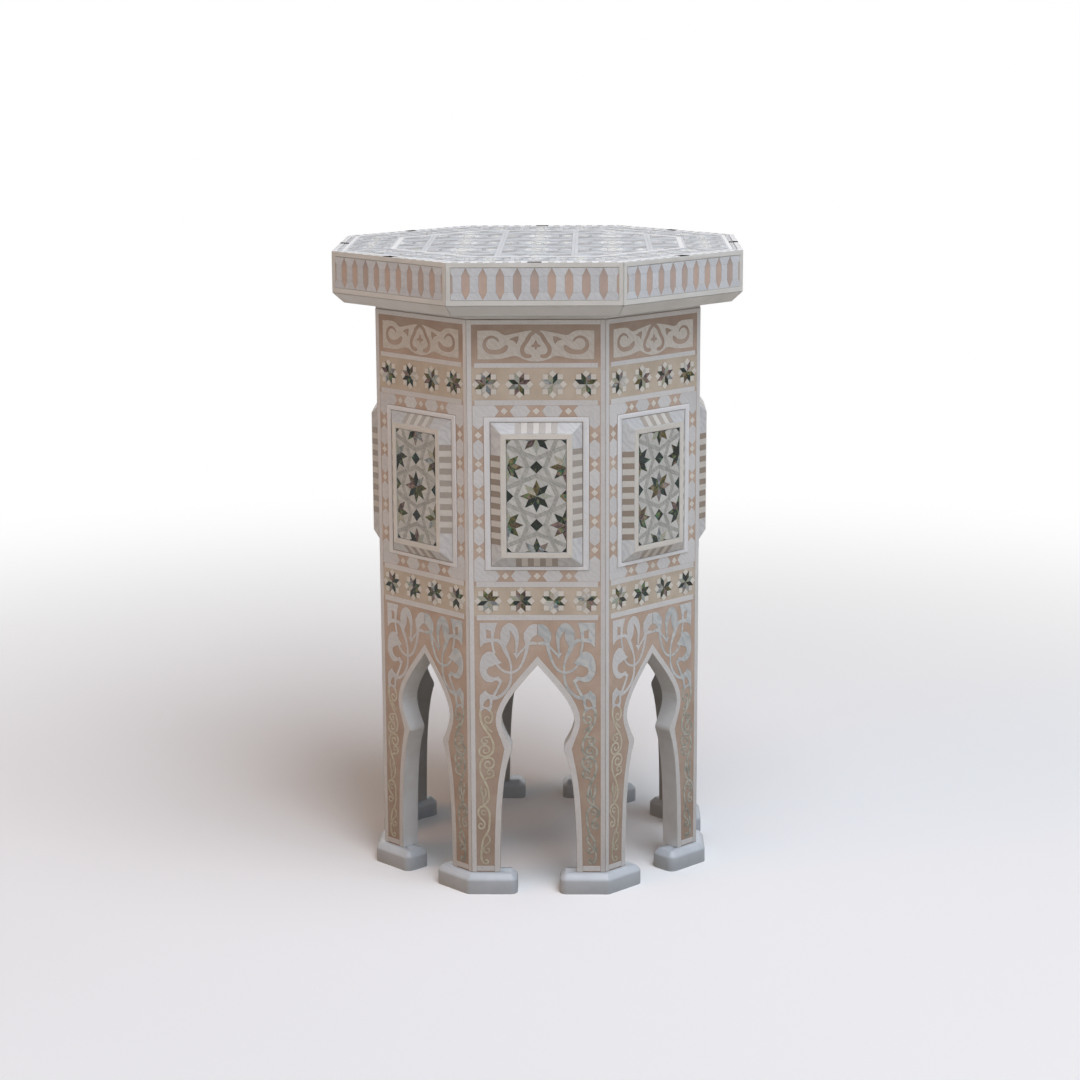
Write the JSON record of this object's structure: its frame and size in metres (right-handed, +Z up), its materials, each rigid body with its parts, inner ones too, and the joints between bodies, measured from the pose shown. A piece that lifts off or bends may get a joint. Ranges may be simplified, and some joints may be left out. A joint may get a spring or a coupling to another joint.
{
  "type": "inlaid octagonal side table",
  "caption": "Octagonal side table with arched wall panels on V-shaped feet, raised medallions, a bevelled cornice and shell inlay on every face.",
  "frame": {"origin": "on the floor under the centre of the table", "axes": "+Z up along the table's eight-sided axis; -Y is the front face, +X to its right"},
  "size_m": [0.382, 0.382, 0.6],
  "materials": {
    "white_lacquer": "satin white lacquer on wood",
    "peach_ground": "polished peach ground round the inlay",
    "shell_mosaic": "polished shell mosaic on wood",
    "star_mosaic": "polished shell and abalone mosaic on wood",
    "bare_wood": "sawn softwood",
    "mother_of_pearl": "polished white shell",
    "bone": "polished cream bone",
    "abalone": "polished dark abalone shell"
  },
  "bodies": {
    "root": {"top_board": "shell_mosaic", "neck_board": "white_lacquer", "apron_rail_1": "white_lacquer", "apron_rail_2": "white_lacquer", "apron_rail_3": "white_lacquer", "apron_rail_4": "white_lacquer", "apron_rail_5": "white_lacquer", "apron_rail_6": "white_lacquer", "apron_rail_7": "white_lacquer", "apron_rail_8": "white_lacquer", "cornice_moulding_1": "white_lacquer", "cornice_moulding_2": "white_lacquer", "cornice_moulding_3": "white_lacquer", "cornice_moulding_4": "white_lacquer", "cornice_moulding_5": "white_lacquer", "cornice_moulding_6": "white_lacquer", "cornice_moulding_7": "white_lacquer", "cornice_moulding_8": "white_lacquer", "side_panel_1": "peach_ground", "side_panel_2": "peach_ground", "side_panel_3": "peach_ground", "side_panel_4": "peach_ground", "side_panel_5": "peach_ground", "side_panel_6": "peach_ground", "side_panel_7": "peach_ground", "side_panel_8": "peach_ground", "medallion_block_1": "white_lacquer", "medallion_block_2": "white_lacquer", "medallion_block_3": "white_lacquer", "medallion_block_4": "white_lacquer", "medallion_block_5": "white_lacquer", "medallion_block_6": "white_lacquer", "medallion_block_7": "white_lacquer", "medallion_block_8": "white_lacquer", "medallion_tile_1": "star_mosaic", "medallion_tile_2": "star_mosaic", "medallion_tile_3": "star_mosaic", "medallion_tile_4": "star_mosaic", "medallion_tile_5": "star_mosaic", "medallion_tile_6": "star_mosaic", "medallion_tile_7": "star_mosaic", "medallion_tile_8": "star_mosaic", "corner_block_1": "bare_wood", "corner_block_2": "bare_wood", "corner_block_3": "bare_wood", "corner_block_4": "bare_wood", "corner_block_5": "bare_wood", "corner_block_6": "bare_wood", "corner_block_7": "bare_wood", "corner_block_8": "bare_wood", "foot_1": "white_lacquer", "foot_2": "white_lacquer", "foot_3": "white_lacquer", "foot_4": "white_lacquer", "foot_5": "white_lacquer", "foot_6": "white_lacquer", "foot_7": "white_lacquer", "foot_8": "white_lacquer"}
  },
  "joints": []
}
